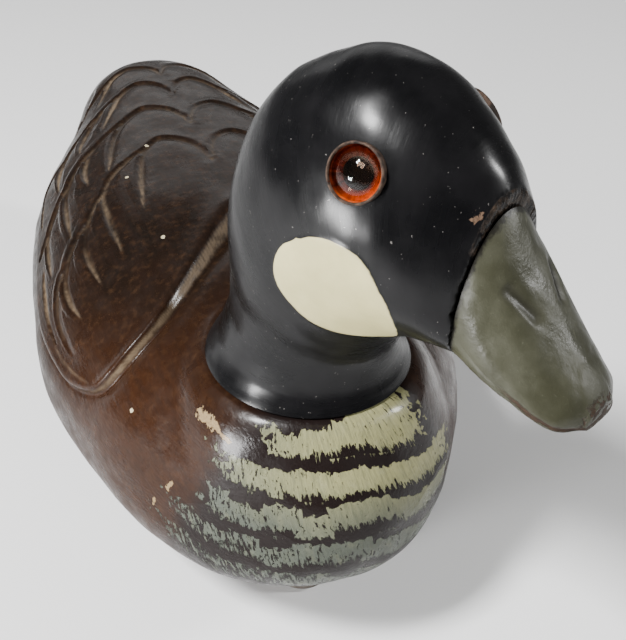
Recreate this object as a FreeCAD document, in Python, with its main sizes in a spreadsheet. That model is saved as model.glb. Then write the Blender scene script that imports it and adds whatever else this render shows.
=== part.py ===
import FreeCAD, Part
import Sketcher
import math
import os

from FreeCAD import Placement, Rotation, Vector

# Hollow wooden duck decoy with a turning head, glass eyes and a weighted keel.
#
# Frame, in millimetres: the origin is the middle of the keel's flat underside, +Z is up and the bird
# faces -Y. The head's pieces are drawn in the head's own frame, whose origin is where the neck's axis
# meets its seat and whose bill points to -Y; head_frame() places all of them together.

DIMENSIONS = [
    ("body_length", 254, "breast to tail"),
    ("body_front", -102, "Y of the front of the breast"),
    ("body_half_width", 67, "widest half width of the body"),
    ("body_floor", 14, "height of the body's flat underside"),
    ("hollow_half_length", 42, "half length of the hollow"),
    ("hollow_half_width", 28, "half width of the hollow"),
    ("hollow_height", 54, "height of the hollow above the board"),
    ("board_length", 100, "bottom board, end to end"),
    ("board_width", 70, "bottom board, side to side"),
    ("board_thickness", 8, "bottom board"),
    ("board_y", 10, "Y of the middle of the bottom board"),
    ("board_screw_x", 31.5, "board screws, from the middle line"),
    ("board_screw_pitch", 28, "board screws, from one to the next"),
    ("board_screw_length", 16, "board screws"),
    ("keel_length", 150, "keel, nose to tail"),
    ("keel_width", 18, "keel, side to side"),
    ("keel_y", 3, "Y of the middle of the keel"),
    ("keel_chamfer", 1.5, "keel's lower edge"),
    ("keel_screw_reach", 46, "keel screws, from the middle of the board"),
    ("keel_screw_length", 31, "keel screws, through keel and board into the body"),
    ("line_hole_radius", 3, "anchor line hole across the keel"),
    ("line_hole_y", -58, "Y of the anchor line hole"),
    ("line_hole_z", 7, "height of the anchor line hole"),
    ("ballast_length", 70, "lead bar let into the keel"),
    ("ballast_width", 10, "lead bar"),
    ("ballast_height", 7, "lead bar"),
    ("ballast_y", 10, "Y of the middle of the lead bar"),
    ("ballast_screw_reach", 24, "ballast screws, from the middle of the bar"),
    ("ballast_screw_length", 11, "ballast screws"),
    ("neck_y", -58, "Y of the neck's axis"),
    ("seat_height", 86, "height of the flat seat under the neck"),
    ("seat_radius", 29, "flat seat under the neck"),
    ("seat_foot_radius", 35, "where the neck shelf runs out into the body"),
    ("seat_foot_height", 76, "height at which the neck shelf runs out"),
    ("seat_gap", 0.3, "seam between the neck and its seat"),
    ("head_turn", 26, "degrees by which the head looks to its left"),
    ("dowel_radius", 8, "neck dowel"),
    ("dowel_running_gap", 0.05, "radial clearance of the neck dowel"),
    ("dowel_bottom", 52, "height of the neck dowel's lower end"),
    ("dowel_in_head", 32, "how far the neck dowel reaches into the head"),
    ("dowel_chamfer", 1, "neck dowel's ends"),
    ("washer_radius", 12, "neck washer"),
    ("washer_thickness", 2, "neck washer"),
    ("washer_gap", 0.3, "play between the washer and the wood above it"),
    ("counterbore_radius", 12.5, "hole below the neck for washer and bolt"),
    ("plug_height", 8, "wooden plug that closes the counterbore"),
    ("bolt_radius", 2.5, "neck bolt's shank"),
    ("bolt_length", 45, "neck bolt's shank"),
    ("bolt_head_radius", 6, "neck bolt's head"),
    ("bolt_head_height", 4, "neck bolt's head"),
    ("bill_root", 52, "distance from the neck's axis to the bill's root"),
    ("bill_length", 30, "bill, root to tip"),
    ("bill_dowel_radius", 4, "bill dowel"),
    ("bill_dowel_length", 24, "bill dowel, half in the head and half in the bill"),
    ("bill_dowel_height", 46, "height of the bill dowel above the neck's seat"),
    ("eye_side", 21.2, "middle of the eye, from the head's middle plane"),
    ("eye_forward", 28.7, "middle of the eye, forward of the neck's axis"),
    ("eye_height", 72.4, "middle of the eye, above the neck's seat"),
    ("eye_swing", 14.7, "degrees by which the eye looks forward of square"),
    ("eye_lift", 23, "degrees by which the eye looks up"),
    ("eye_radius", 5.6, "glass eye, seen from the front"),
    ("eye_dome", 7, "radius of the glass eye's front"),
    ("eye_thickness", 4.6, "glass eye, back to front"),
    ("eye_proud", 1.6, "how far the glass stands out of the head"),
    ("pupil_radius", 2.8, "black pupil fused into the glass eye's back"),
    ("pupil_depth", 1.4, "black pupil"),
    ("putty_width", 1.5, "ring of putty round the glass eye"),
    ("putty_depth", 2.4, "bed of putty behind the glass eye"),
    ("wire_radius", 0.6, "wire stem of the glass eye"),
    ("wire_length", 9, "wire stem of the glass eye"),
    ("screw_radius", 1.6, "small wood screws"),
    ("screw_head_radius", 3.2, "small wood screws"),
    ("screw_head_height", 1.8, "small wood screws"),
    ("fit_gap", 0.02, "radial gap of a glued or screwed joint"),
]

# Lines of the body against its stations, from 0 degrees at the breast to 180 at the tail. Stations
# crowd towards both ends, as equal angles on a half circle over the length do. Half widths are shares
# of the widest one, heights are in millimetres above the keel's underside.
BODY_WIDTH = [(0, 0), (23, 0.35), (41, 0.63), (60, 0.86), (82, 1), (107, 0.9), (130, 0.62), (152, 0.41),
              (180, 0)]
BACK_LINE = [(0, 57), (23, 77), (44, 86), (66, 88), (88, 92.5), (127, 90), (154, 87), (180, 76)]
BELLY_LINE = [(0, 57), (23, 31), (44, 14), (66, 10), (104, 10), (127, 20), (154, 47), (180, 76)]
WIDEST_LINE = [(0, 57), (66, 48), (102, 52), (180, 76)]
BACK_ROUNDNESS = 2.2
BELLY_ROUNDNESS = 2.9

# Lines of the head and neck against the angle of a plane that fans out about the foot of the bill's
# root, from the neck's seat (0 degrees) to the bill's root (90 degrees): how far the throat and the
# nape and crown lie from the fan's axis, the half width, and where it is widest (0 throat, 1 crown).
THROAT = [(0, 24.5), (12, 28), (26, 30.5), (39, 31), (54, 31.5), (90, 32.5)]
CROWN = [(0, 79.5), (6, 76), (14, 74.5), (23, 77), (31, 82), (38, 88), (47, 94), (56, 97), (64, 97),
         (71, 94), (78, 87), (84, 79), (90, 69.5)]
HEAD_WIDTH = [(0, 27.5), (7, 24.3), (16, 22.8), (24, 23.4), (34, 25.3), (44, 26.5), (56, 26.3),
              (66, 25), (74, 23), (82, 19.5), (90, 15)]
HEAD_WIDEST = [(0, 0.5), (60, 0.5), (90, 0.3)]

# Lines of the bill from root (0) to tip (1), in the head's frame.
BILL_WIDTH = [(0, 14.2), (0.3, 15), (0.6, 14.2), (0.85, 11.5), (1, 5)]
CULMEN = [(0, 66.5), (0.3, 55.5), (0.7, 42.5), (0.9, 37.5), (1, 34.5)]
BILL_FLOOR = [(0, 33.5), (0.5, 31.5), (0.9, 29.3), (1, 29)]
BILL_WIDEST = 0.27

UP = Vector(0, 0, 1)
SIDE_STEPS = 14

document = FreeCAD.newDocument("duck_decoy")
sheet = document.addObject("Spreadsheet::Sheet", "dims")
nodes = {}


def fill_sheet():
    """Writes each driving dimension into the sheet with its alias and its meaning."""
    for row, (alias, value, meaning) in enumerate(DIMENSIONS, start=1):
        sheet.set("A%d" % row, alias)
        sheet.set("B%d" % row, str(value))
        sheet.set("C%d" % row, meaning)
        sheet.setAlias("B%d" % row, alias)
    document.recompute()


def size(alias):
    """A driving dimension as the sheet holds it."""
    return float(sheet.get(alias))


def from_sheet(formula):
    """A formula of the sheet's aliases, with each alias given its sheet's name."""
    words = formula.split()
    return " ".join("dims." + word if word[0].isalpha() else word for word in words)


def new(kind, label, **sizes):
    """A new object of the document whose sizes are formulas of the sheet's aliases."""
    thing = document.addObject(kind, label)
    thing.Label = label
    for name, formula in sizes.items():
        thing.setExpression(name, from_sheet(formula))
    return thing


def keep(name, thing):
    """Makes an object a sub-part: its label names its file."""
    thing.Label = name
    nodes[name] = thing
    return thing


def through(points, place):
    """Value at place of a smooth line through the points that doesn't overshoot between them."""
    slopes = [(b[1] - a[1]) / (b[0] - a[0]) for a, b in zip(points, points[1:])]
    leans = [slopes[0]]
    for before, after in zip(slopes, slopes[1:]):
        leans.append(2 * before * after / (before + after) if before * after > 0 else 0.0)
    leans.append(slopes[-1])
    span = max(i for i in range(len(slopes)) if i == 0 or points[i][0] <= place)
    (start, low), (stop, high) = points[span], points[span + 1]
    length = stop - start
    share = (place - start) / length
    value = low + (high - low) * (3 - 2 * share) * share * share
    value += leans[span] * length * share * (1 - share) ** 2
    value += leans[span + 1] * length * share * share * (share - 1)
    return value


def half_turn():
    """Evenly spaced angles from straight down to straight up."""
    return [math.pi * (step / SIDE_STEPS - 0.5) for step in range(SIDE_STEPS + 1)]


def carved(label, sections):
    """A carved solid, the same on both sides of the middle plane X = 0.

    Each section is a list of points down one side, from middle plane to middle plane, in one plane.
    """
    sides = []
    for side in (1, -1):
        surface = Part.BSplineSurface()
        surface.interpolate([[Vector(side * p.x, p.y, p.z) for p in points] for points in sections])
        sides.append(surface.toShape())
    caps = []
    for points in (sections[0], sections[-1]):
        rims = []
        for face, side in zip(sides, (1, -1)):
            middle = points[len(points) // 2]
            mark = Part.Vertex(Vector(side * middle.x, middle.y, middle.z))
            rims.append(min(face.Edges, key=lambda edge: edge.distToShape(mark)[0]))
        caps.append(Part.Face(Part.Wire(rims)))
    skin = Part.Shell(sides + caps)
    skin.sewShape()
    solid = Part.Solid(skin)
    if solid.Volume < 0:
        solid.reverse()
    block = new("Part::Feature", label)
    block.Shape = solid
    return block


def fused(label, *pieces):
    """The pieces joined into one."""
    result = new("Part::MultiFuse", label)
    result.Shapes = list(pieces)
    return result


def cut(label, base, *tools):
    """base without the tools."""
    result = new("Part::Cut", label)
    result.Base = base
    result.Tool = tools[0] if len(tools) == 1 else fused(label + "_tools", *tools)
    return result


def cylinder(label, radius, height, foot, axis=UP):
    """A cylinder from its foot along an axis; its radius and height are formulas."""
    rod = new("Part::Cylinder", label, Radius=radius, Height=height)
    rod.Placement = Placement(foot, Rotation(UP, axis))
    return rod


def box(label, length, width, height, corner):
    """A box along X, Y and Z from its lowest corner; its sizes are formulas."""
    block = new("Part::Box", label, Length=length, Width=width, Height=height)
    block.Placement = Placement(corner, Rotation())
    return block


def sketch_in(body, label):
    """A sketch on a body's own XY plane."""
    sketch = body.newObject("Sketcher::SketchObject", label)
    plane = next(part for part in body.Origin.OriginFeatures if part.Role == "XY_Plane")
    sketch.AttachmentSupport = [(plane, "")]
    sketch.MapMode = "FlatFace"
    return sketch


def constrain(sketch, name, constraint, formula):
    """Adds a sketch dimension bound to a formula."""
    sketch.renameConstraint(sketch.addConstraint(constraint), name)
    sketch.setExpression("Constraints." + name, from_sheet(formula))


def padded(body, sketch, height):
    """Pads a body's sketch upwards by a formula."""
    pad = body.newObject("PartDesign::Pad", body.Label + "_pad")
    pad.Profile = sketch
    pad.setExpression("Length", from_sheet(height))
    body.Tip = pad
    document.recompute()
    return pad


def chamfered(body, pad, breadth, upper, lower):
    """Chamfers the edges of a pad's upper or lower end face."""
    faces = []
    for index, face in enumerate(pad.Shape.Faces, start=1):
        facing = face.normalAt(0, 0).z
        if (upper and facing > 0.99) or (lower and facing < -0.99):
            faces.append("Face%d" % index)
    edge = body.newObject("PartDesign::Chamfer", body.Label + "_chamfer")
    edge.Base = (pad, faces)
    edge.setExpression("Size", from_sheet(breadth))
    body.Tip = edge
    document.recompute()


def disc(label, radius, height, hole=None):
    """A PartDesign disc or rod on Z = 0, with a round hole through it if one is given."""
    body = new("PartDesign::Body", label)
    sketch = sketch_in(body, label + "_outline")
    for index, (name, formula) in enumerate((("radius", radius), ("hole", hole))):
        if formula:
            sketch.addGeometry(Part.Circle(Vector(), UP, 5.0 - index))
            sketch.addConstraint(Sketcher.Constraint("Coincident", index, 3, -1, 1))
            constrain(sketch, name, Sketcher.Constraint("Radius", index, 5.0 - index), formula)
    padded(body, sketch, height)
    return body


def rounded_bar(label, length, width, height):
    """A PartDesign bar along Y with half-round ends, standing on Z = 0; its sizes are formulas."""
    body = new("PartDesign::Body", label)
    sketch = sketch_in(body, label + "_outline")
    radius, reach = 10.0, 30.0
    front, rear, side = Vector(0, -reach, 0), Vector(0, reach, 0), Vector(radius, 0, 0)
    sketch.addGeometry(Part.LineSegment(front + side, rear + side))
    sketch.addGeometry(Part.ArcOfCircle(Part.Circle(rear, UP, radius), 0, math.pi))
    sketch.addGeometry(Part.LineSegment(rear - side, front - side))
    sketch.addGeometry(Part.ArcOfCircle(Part.Circle(front, UP, radius), math.pi, 2 * math.pi))
    for first, second in ((0, 1), (1, 2), (2, 3), (3, 0)):
        sketch.addConstraint(Sketcher.Constraint("Tangent", first, 2, second, 1))
    sketch.addConstraint(Sketcher.Constraint("Equal", 1, 3))
    sketch.addConstraint(Sketcher.Constraint("Symmetric", 1, 3, 3, 3, -1, 1))
    sketch.addConstraint(Sketcher.Constraint("PointOnObject", 1, 3, -2))
    constrain(sketch, "end_radius", Sketcher.Constraint("Radius", 1, radius), "( %s ) / 2" % width)
    reach_formula = "( %s - ( %s ) ) / 2" % (length, width)
    constrain(sketch, "reach", Sketcher.Constraint("DistanceY", -1, 1, 1, 3, reach), reach_formula)
    padded(body, sketch, height)
    return body


def screw(label, foot, length, gaps):
    """A countersunk wood screw, pointing up from its head's face, or with a gap the hole for it."""
    gap = " + %d * fit_gap" % gaps
    head = new("Part::Cone", label + "_head", Radius1="screw_head_radius" + gap,
               Radius2="screw_radius" + gap, Height="screw_head_height")
    head.Placement = Placement(foot, Rotation())
    return fused(label, head, cylinder(label + "_shank", "screw_radius" + gap, length + gap, foot))


def screw_group(name, feet, length):
    """Identical screws as one sub-part, and the holes that they need."""
    screws = [screw("%s_%d" % (name, i), foot, length, 0) for i, foot in enumerate(feet)]
    holes = [screw("%s_hole_%d" % (name, i), foot, length, 1) for i, foot in enumerate(feet)]
    group = new("Part::Compound", name)
    group.Links = screws
    keep(name, group)
    return holes


def head_frame():
    """The head's own frame, turned about the neck's axis."""
    seat = Vector(0, size("neck_y"), size("seat_height") + size("seat_gap"))
    return Placement(seat, Rotation(UP, size("head_turn")))


def eye_frame(side):
    """An eye's frame in the head's: origin in the head's surface, Z looking out. side is -1 or 1."""
    middle = Vector(side * size("eye_side"), -size("eye_forward"), size("eye_height"))
    swing, lift = math.radians(size("eye_swing")), math.radians(size("eye_lift"))
    level = math.cos(lift)
    look = Vector(side * level * math.cos(swing), -level * math.sin(swing), math.sin(lift))
    return Placement(middle, Rotation(UP, look))


def outline(half_width, low, widest, high, low_roundness=2, high_roundness=2):
    """One side of a rounded section from low to high: pairs of distance across and height."""
    pairs = []
    for angle in half_turn():
        exponent = 2 / (high_roundness if angle >= 0 else low_roundness)
        edge = high if angle >= 0 else low
        across = half_width * abs(math.cos(angle)) ** exponent
        pairs.append((across, widest + (edge - widest) * abs(math.sin(angle)) ** exponent))
    return pairs


def body_section(station):
    """One side of the body's outline at a station, from belly to back."""
    along = size("body_front") + size("body_length") * (1 - math.cos(math.radians(station))) / 2
    pairs = outline(size("body_half_width") * through(BODY_WIDTH, station), through(BELLY_LINE, station),
                    through(WIDEST_LINE, station), through(BACK_LINE, station), BELLY_ROUNDNESS,
                    BACK_ROUNDNESS)
    return [Vector(across, along, height) for across, height in pairs]


def make_body_shell(screw_holes):
    """The carved block, hollowed from below, with the neck's seat and bore."""
    block = carved("carved_block", [body_section(3 + 174 * step / 24) for step in range(25)])
    neck = Vector(0, size("neck_y"), 0)
    floor = Vector(0, 0, size("body_floor"))
    shelf = new("Part::Cone", "neck_shelf", Radius1="seat_foot_radius", Radius2="seat_radius",
                Height="seat_height - seat_foot_height")
    shelf.Placement = Placement(neck + UP * size("seat_foot_height"), Rotation())
    below = box("below_floor", "body_length * 2", "body_length * 2", "body_floor",
                Vector(-size("body_length"), -size("body_length"), 0))
    above = cylinder("above_seat", "seat_radius", "seat_height", neck + UP * size("seat_height"))
    bore = cylinder("neck_bore", "dowel_radius + dowel_running_gap", "seat_height - dowel_bottom + 1",
                    neck + UP * (size("dowel_bottom") - 1))
    well = cylinder("neck_well", "counterbore_radius", "dowel_bottom + washer_gap", neck)
    hollow = new("Part::Ellipsoid", "hollow", Radius1="hollow_height", Radius2="hollow_half_width",
                 Radius3="hollow_half_length")
    hollow.Angle1 = 0
    board = Vector(0, size("board_y"), 0)
    hollow.Placement = Placement(board + floor + UP * (size("board_thickness") - 0.01), Rotation())
    recess = rounded_bar("board_recess", "board_length + 2 * fit_gap", "board_width + 2 * fit_gap",
                         "board_thickness")
    recess.Placement = Placement(board + floor, Rotation())
    whole = fused("carved_body", block, shelf)
    shell = cut("body_shell", whole, below, above, bore, well, hollow, recess, *screw_holes)
    keep("body_shell", shell)


def make_bottom_board(screw_holes):
    """The oval board that closes the hollow."""
    blank = rounded_bar("board_blank", "board_length", "board_width", "board_thickness")
    blank.Placement = Placement(Vector(0, size("board_y"), size("body_floor")), Rotation())
    keep("bottom_board", cut("bottom_board", blank, *screw_holes))


def make_keel(screw_holes):
    """The keel, with its line hole and the groove for the lead bar."""
    blank = rounded_bar("keel_blank", "keel_length", "keel_width", "body_floor")
    chamfered(blank, blank.Tip, "keel_chamfer", upper=False, lower=True)
    blank.Placement = Placement(Vector(0, size("keel_y"), 0), Rotation())
    hole_start = Vector(-size("keel_width"), size("line_hole_y"), size("line_hole_z"))
    line_hole = cylinder("line_hole", "line_hole_radius", "keel_width * 2", hole_start, Vector(1, 0, 0))
    low = -1
    corner = Vector(-size("ballast_width") / 2 - size("fit_gap"),
                    size("ballast_y") - size("ballast_length") / 2 - size("fit_gap"), low)
    groove = box("ballast_groove", "ballast_width + 2 * fit_gap", "ballast_length + 2 * fit_gap",
                 "ballast_height + 1", corner)
    keep("keel", cut("keel", blank, line_hole, groove, *screw_holes))


def make_ballast(screw_holes):
    """The lead bar in the keel's groove."""
    corner = Vector(-size("ballast_width") / 2, size("ballast_y") - size("ballast_length") / 2, 0)
    bar = box("ballast_bar", "ballast_width", "ballast_length", "ballast_height", corner)
    keep("ballast_weight", cut("ballast_weight", bar, *screw_holes))


def make_neck_fittings():
    """Dowel, washer and bolt, which turn with the head, and the plug that closes their hole."""
    frame = head_frame()
    dowel_foot = size("dowel_bottom") - size("seat_height") - size("seat_gap")
    length = "dowel_in_head + seat_height + seat_gap - dowel_bottom"
    dowel = disc("neck_dowel_blank", "dowel_radius", length)
    chamfered(dowel, dowel.Tip, "dowel_chamfer", upper=True, lower=True)
    dowel.Placement = Placement(Vector(0, 0, dowel_foot), Rotation())
    washer_foot = dowel_foot - size("washer_thickness")
    pilot = cylinder("bolt_pilot", "bolt_radius + fit_gap", "bolt_length + fit_gap",
                     Vector(0, 0, washer_foot))
    bored = keep("neck_dowel", cut("neck_dowel", dowel, pilot))
    bored.Placement = frame
    washer = disc("neck_washer", "washer_radius", "washer_thickness", "bolt_radius + fit_gap")
    washer.Placement = frame.multiply(Placement(Vector(0, 0, washer_foot), Rotation()))
    keep("neck_washer", washer)
    head_foot = Vector(0, 0, washer_foot - size("bolt_head_height"))
    bolt_head = disc("neck_bolt_head", "bolt_head_radius", "bolt_head_height")
    chamfered(bolt_head, bolt_head.Tip, "bolt_head_height / 3", upper=False, lower=True)
    bolt_head.Placement = Placement(head_foot, Rotation())
    shank = cylinder("neck_bolt_shank", "bolt_radius", "bolt_length", Vector(0, 0, washer_foot))
    bolt = keep("neck_bolt", fused("neck_bolt", bolt_head, shank))
    bolt.Placement = frame
    plug = disc("neck_plug", "counterbore_radius - fit_gap", "plug_height")
    plug.Placement = Placement(Vector(0, size("neck_y"), size("body_floor")), Rotation())
    keep("neck_plug", plug)


def head_section(degrees):
    """One side of the head's outline in the fan plane at an angle, from throat to crown."""
    angle = math.radians(degrees)
    inner, outer = through(THROAT, degrees), through(CROWN, degrees)
    widest = inner + (outer - inner) * through(HEAD_WIDEST, degrees)
    pairs = outline(through(HEAD_WIDTH, degrees), inner, widest, outer)
    return [Vector(across, away * math.cos(angle) - size("bill_root"), away * math.sin(angle))
            for across, away in pairs]


def make_head(eye_pockets):
    """Head and neck in one piece, with its dowel holes and eye pockets."""
    block = carved("head_block", [head_section(90 * step / 15) for step in range(16)])
    socket = cylinder("dowel_socket", "dowel_radius + fit_gap", "dowel_in_head + 1 + fit_gap",
                      Vector(0, 0, -1))
    head = cut("head", block, socket, bill_dowel_rod("head_dowel_hole", 1), *eye_pockets)
    keep("head", head).Placement = head_frame()


def bill_dowel_rod(label, gaps):
    """A rod across the bill's root, or with a gap the hole for it."""
    reach = size("bill_dowel_length") / 2 + gaps * size("fit_gap")
    start = Vector(0, reach - size("bill_root"), size("bill_dowel_height"))
    return cylinder(label, "bill_dowel_radius + %d * fit_gap" % gaps,
                    "bill_dowel_length + %d * fit_gap" % (2 * gaps), start, Vector(0, -1, 0))


def bill_section(share):
    """One side of the bill's outline at a share of its length, from floor to culmen."""
    low, high = through(BILL_FLOOR, share), through(CULMEN, share)
    pairs = outline(through(BILL_WIDTH, share), low, low + (high - low) * BILL_WIDEST, high)
    away = -size("bill_root") - size("bill_length") * share
    return [Vector(across, away, height) for across, height in pairs]


def make_bill():
    """The bill and the dowel that holds it."""
    shares = [0, 0.15, 0.3, 0.5, 0.7, 0.85, 0.94, 1]
    block = carved("bill_block", [bill_section(share) for share in shares])
    bill = cut("bill", block, bill_dowel_rod("bill_dowel_hole", 1))
    keep("bill", bill).Placement = head_frame()
    dowel = keep("bill_dowel", bill_dowel_rod("bill_dowel", 0))
    dowel.Placement = head_frame().multiply(dowel.Placement)


def make_eye(name, side):
    """One glass eye: dome, pupil, wire stem and the putty that beds them. Returns its pocket."""
    frame = eye_frame(side)
    place = head_frame().multiply(frame)
    back = size("eye_proud") - size("eye_thickness")
    bed = back - size("putty_depth")

    def rod(part, radius, height, foot):
        return cylinder("%s_%s" % (part, name), radius, height, Vector(0, 0, foot))

    ball = new("Part::Sphere", "eye_ball_" + name, Radius="eye_dome")
    ball.Placement = Placement(Vector(0, 0, size("eye_proud") - size("eye_dome")), Rotation())
    blank = rod("eye_blank", "eye_radius", "eye_thickness", back)
    dome = new("Part::Common", "eye_lens_" + name)
    dome.Base = ball
    dome.Tool = blank
    pupil_pocket = rod("pupil_pocket", "pupil_radius", "pupil_depth", back)
    glass = cut("eye_glass_" + name, dome, pupil_pocket)
    pupil = rod("eye_pupil", "pupil_radius - fit_gap", "pupil_depth - fit_gap", back)
    wire = rod("eye_wire", "wire_radius", "wire_length", back - size("wire_length"))
    bed_rod = rod("putty_blank", "eye_radius + putty_width", "putty_depth - eye_proud + eye_thickness",
                  bed)
    glass_pocket = rod("putty_pocket", "eye_radius + fit_gap", "eye_thickness", back)
    wire_hole = rod("wire_hole", "wire_radius + fit_gap", "wire_length", back - size("wire_length"))
    putty = cut("eye_putty_" + name, bed_rod, glass_pocket, wire_hole)
    for part, thing in (("glass", glass), ("pupil", pupil), ("wire", wire), ("putty", putty)):
        thing.Placement = place.multiply(thing.Placement)
        keep("eye_%s_%s" % (part, name), thing)
    outer = rod("eye_pocket", "eye_radius + putty_width + fit_gap", "eye_dome * 2", bed)
    stem = rod("stem_pocket", "wire_radius + 2 * fit_gap", "wire_length", back - size("wire_length"))
    pocket = fused("eye_pockets_" + name, outer, stem)
    pocket.Placement = frame
    return pocket


def make_fastened_pieces():
    """Body, board, keel and lead bar with the screws that hold them."""
    pitch, board_y = size("board_screw_pitch"), size("board_y")
    board_feet = [Vector(side * size("board_screw_x"), board_y + row * pitch, size("body_floor"))
                  for side in (-1, 1) for row in (-1, 0, 1)]
    keel_feet = [Vector(0, board_y + end * size("keel_screw_reach"), 0) for end in (-1, 1)]
    ballast_feet = [Vector(0, size("ballast_y") + end * size("ballast_screw_reach"), 0)
                    for end in (-1, 1)]
    board_holes = screw_group("board_screws", board_feet, "board_screw_length")
    keel_holes = screw_group("keel_screws", keel_feet, "keel_screw_length")
    ballast_holes = screw_group("ballast_screws", ballast_feet, "ballast_screw_length")
    make_body_shell(board_holes + keel_holes)
    make_bottom_board(board_holes + keel_holes)
    make_keel(keel_holes + ballast_holes)
    make_ballast(ballast_holes)


def check_and_write():
    """Stops at any failed object, then writes each sub-part's file."""
    document.recompute()
    for thing in document.Objects:
        if "Invalid" in thing.State or "Error" in thing.State:
            raise RuntimeError("%s failed: %s" % (thing.Label, thing.State))
    for name, thing in nodes.items():
        if thing.Shape.isNull() or not thing.Shape.isValid() or not thing.Shape.Solids:
            raise RuntimeError("%s has no valid solid" % name)
    os.makedirs("parts", exist_ok=True)
    for name, thing in nodes.items():
        thing.Shape.exportStep("parts/%s.step" % name)
        print("%-18s %9.1f mm3  %d solids" % (name, thing.Shape.Volume, len(thing.Shape.Solids)))


fill_sheet()
make_fastened_pieces()
make_neck_fittings()
make_head([make_eye("right", -1), make_eye("left", 1)])
make_bill()
check_and_write()
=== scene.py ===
import math

import bpy
import numpy as np
from mathutils import Matrix, Vector


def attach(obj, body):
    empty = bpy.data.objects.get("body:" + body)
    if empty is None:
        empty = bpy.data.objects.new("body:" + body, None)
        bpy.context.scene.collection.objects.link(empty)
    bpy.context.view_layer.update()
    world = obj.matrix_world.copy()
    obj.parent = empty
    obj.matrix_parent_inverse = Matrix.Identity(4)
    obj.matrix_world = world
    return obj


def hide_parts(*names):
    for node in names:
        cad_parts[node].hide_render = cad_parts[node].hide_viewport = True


# Carved and painted duck decoy. Lengths are in millimetres until mesh_object() turns them into metres.
# The body's frame is the CAD frame. The head's pieces are drawn in the head's own frame, whose origin
# is where the neck's axis meets its seat and whose bill points to -Y; to_world() turns them into place.

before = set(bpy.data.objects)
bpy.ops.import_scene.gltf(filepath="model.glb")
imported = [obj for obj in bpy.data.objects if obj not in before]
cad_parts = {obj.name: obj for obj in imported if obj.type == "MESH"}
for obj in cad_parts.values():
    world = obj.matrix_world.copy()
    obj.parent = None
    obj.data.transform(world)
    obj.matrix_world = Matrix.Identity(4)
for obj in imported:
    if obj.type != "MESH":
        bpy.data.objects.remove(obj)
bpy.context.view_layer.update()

MM = 0.001
HULL = "hull"
HEAD = "turning_head"
NECK_Y = -58.0
SEAT = 86.3
HEAD_TURN = 26.0
BILL_ROOT = 52.0
BILL_LENGTH = 29.3
BODY_FRONT = -102.0
BODY_LENGTH = 254.0
BODY_HALF_WIDTH = 67.0
BODY_FLOOR = 14.0
BACK_ROUNDNESS = 2.2
BELLY_ROUNDNESS = 2.9
ROW_PITCH = 10.6        # from one row of breast bars to the next
BOARD_RECESS = (100.4, 70.4)        # length and width cut out of the body's underside
NECK_WELL = 25.2        # across the hole under the neck
CUT_LOW, CUT_HIGH = -5, 22        # heights that both of those cuts span
EYE_SWING = {-1: 12, 1: 14.7}        # degrees that the right and the left eye look ahead
EYE_LIFT = 22.5        # degrees that they look up
EYE_POCKET = 6.05        # radius of the hole that takes an eye and its putty
EYE_REACH = 5.6        # radius at which an iris piece's ring value is 1

# The carved lines of the CAD model. See part.py for what each one means.
BODY_WIDTH = [(0, 0), (23, 0.35), (41, 0.63), (60, 0.86), (82, 1), (107, 0.9), (130, 0.62), (152, 0.41),
              (180, 0)]
BACK_LINE = [(0, 57), (23, 77), (44, 86), (66, 88), (88, 92.5), (127, 90), (154, 87), (180, 76)]
BELLY_LINE = [(0, 57), (23, 31), (44, 14), (66, 10), (104, 10), (127, 20), (154, 47), (180, 76)]
WIDEST_LINE = [(0, 57), (66, 48), (102, 52), (180, 76)]
THROAT = [(0, 24.5), (12, 28), (26, 30.5), (39, 31), (54, 31.5), (90, 32.5)]
CROWN = [(0, 79.5), (6, 76), (14, 74.5), (23, 77), (31, 82), (38, 88), (47, 94), (56, 97), (64, 97),
         (71, 94), (78, 87), (84, 79), (90, 69.5)]
HEAD_WIDTH = [(0, 27.5), (7, 24.3), (16, 22.8), (24, 23.4), (34, 25.3), (44, 26.5), (56, 26.3),
              (66, 25), (74, 23), (82, 19.5), (90, 15)]
HEAD_WIDEST = [(0, 0.5), (60, 0.5), (90, 0.3)]
BILL_WIDTH = [(0, 13.9), (0.3, 14.5), (0.6, 13.7), (0.85, 11.2), (1, 5)]
CULMEN = [(0, 66.5), (0.3, 55.5), (0.7, 42.5), (0.9, 37.5), (1, 34.5)]
BILL_FLOOR = [(0, 33.5), (0.5, 31.5), (0.9, 29.3), (1, 29)]
BILL_WIDEST = 0.27

# Carved lines of the right half of the back: (degrees down from the ridge, Y).
WING_EDGE = [(0, 6), (5, -1), (12, -11), (18, -18), (24, -24), (32, -30), (41, -34), (52, -36.5),
             (62, -36.5), (69, -34), (75, -27), (78.5, -17), (78, 0), (75, 18), (73, 40), (70, 64),
             (66, 88), (60, 110), (52, 128)]
WING_FOLD = [(67, -31), (70, -24), (72, -13), (70, -3), (67, 10), (65, 24)]
# Width, depth and step of each kind of groove.
EDGE_CUT, FOLD_CUT, FEATHER_CUT = (1.1, 1.5, 1.5), (1.0, 0.6, 0.3), (0.95, 0.8, 0.55)
# Per feather row: the middle feather's (V, tip, tip degrees, side degrees, end), then each feather
# beside it: (start degrees, start Y, side degrees, end Y).
FEATHER_ROWS = [
    ((40, 61, 11, 23, 19), [(15, 58, 34, 3), (33, 38, 44, -5), (43, 25, 56, -11), (56, 11, 66, -15)]),
    ((71, 89, 14, 31, 47), [(24, 83, 40, 48), (36, 72, 50, 23), (49, 56, 62, 14), (62, 38, 73, 6)]),
    ((99, 114, 15, 33, 84), [(28, 108, 44, 74), (42, 98, 55, 58), (54, 82, 66, 42)]),
    ((121, 133, 20, 42, 108), [(34, 128, 56, 98), (54, 116, 68, 84)]),
]


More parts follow.
